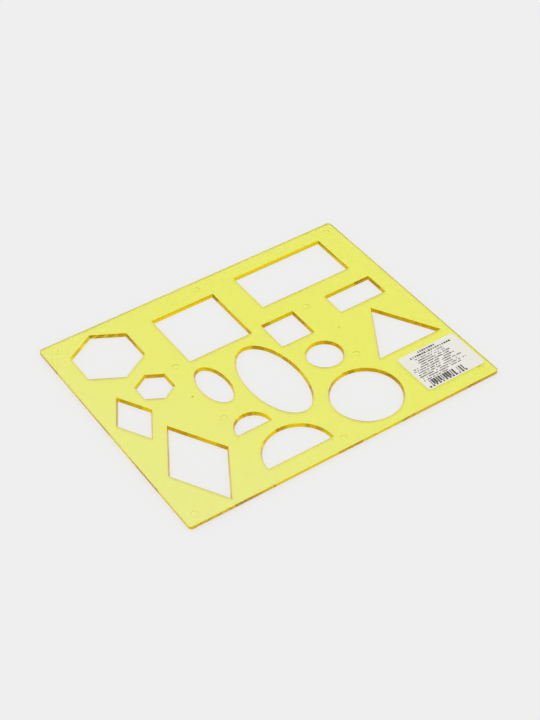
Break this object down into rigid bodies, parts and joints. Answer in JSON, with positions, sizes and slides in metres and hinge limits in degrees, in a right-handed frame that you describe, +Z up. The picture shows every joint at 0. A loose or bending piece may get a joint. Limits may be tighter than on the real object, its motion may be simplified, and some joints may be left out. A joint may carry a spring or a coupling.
{
  "type": "geometric shape template",
  "caption": "Flat drawing template moulded in clear tinted plastic, with cut-outs of plane figures to trace with a pencil, and a small paper label.",
  "frame": {"origin": "middle of the sheet's underside, the face that lies on the drawing", "axes": "+X along the long side, +Y along the short side away from the label, +Z up out of the upper face"},
  "size_m": [0.2044, 0.164, 0.0023],
  "materials": {
    "tinted_plastic": "clear lemon yellow tint, glossy on every face, amber where the light comes out at the edges",
    "adhesive": "thin pressure-sensitive film, soft sheen",
    "label_paper": "smooth coated label stock, off-white, printed in dark grey"
  },
  "bodies": {
    "root": {"template_sheet": "tinted_plastic", "label_adhesive": "adhesive", "label_paper": "label_paper"}
  },
  "joints": []
}
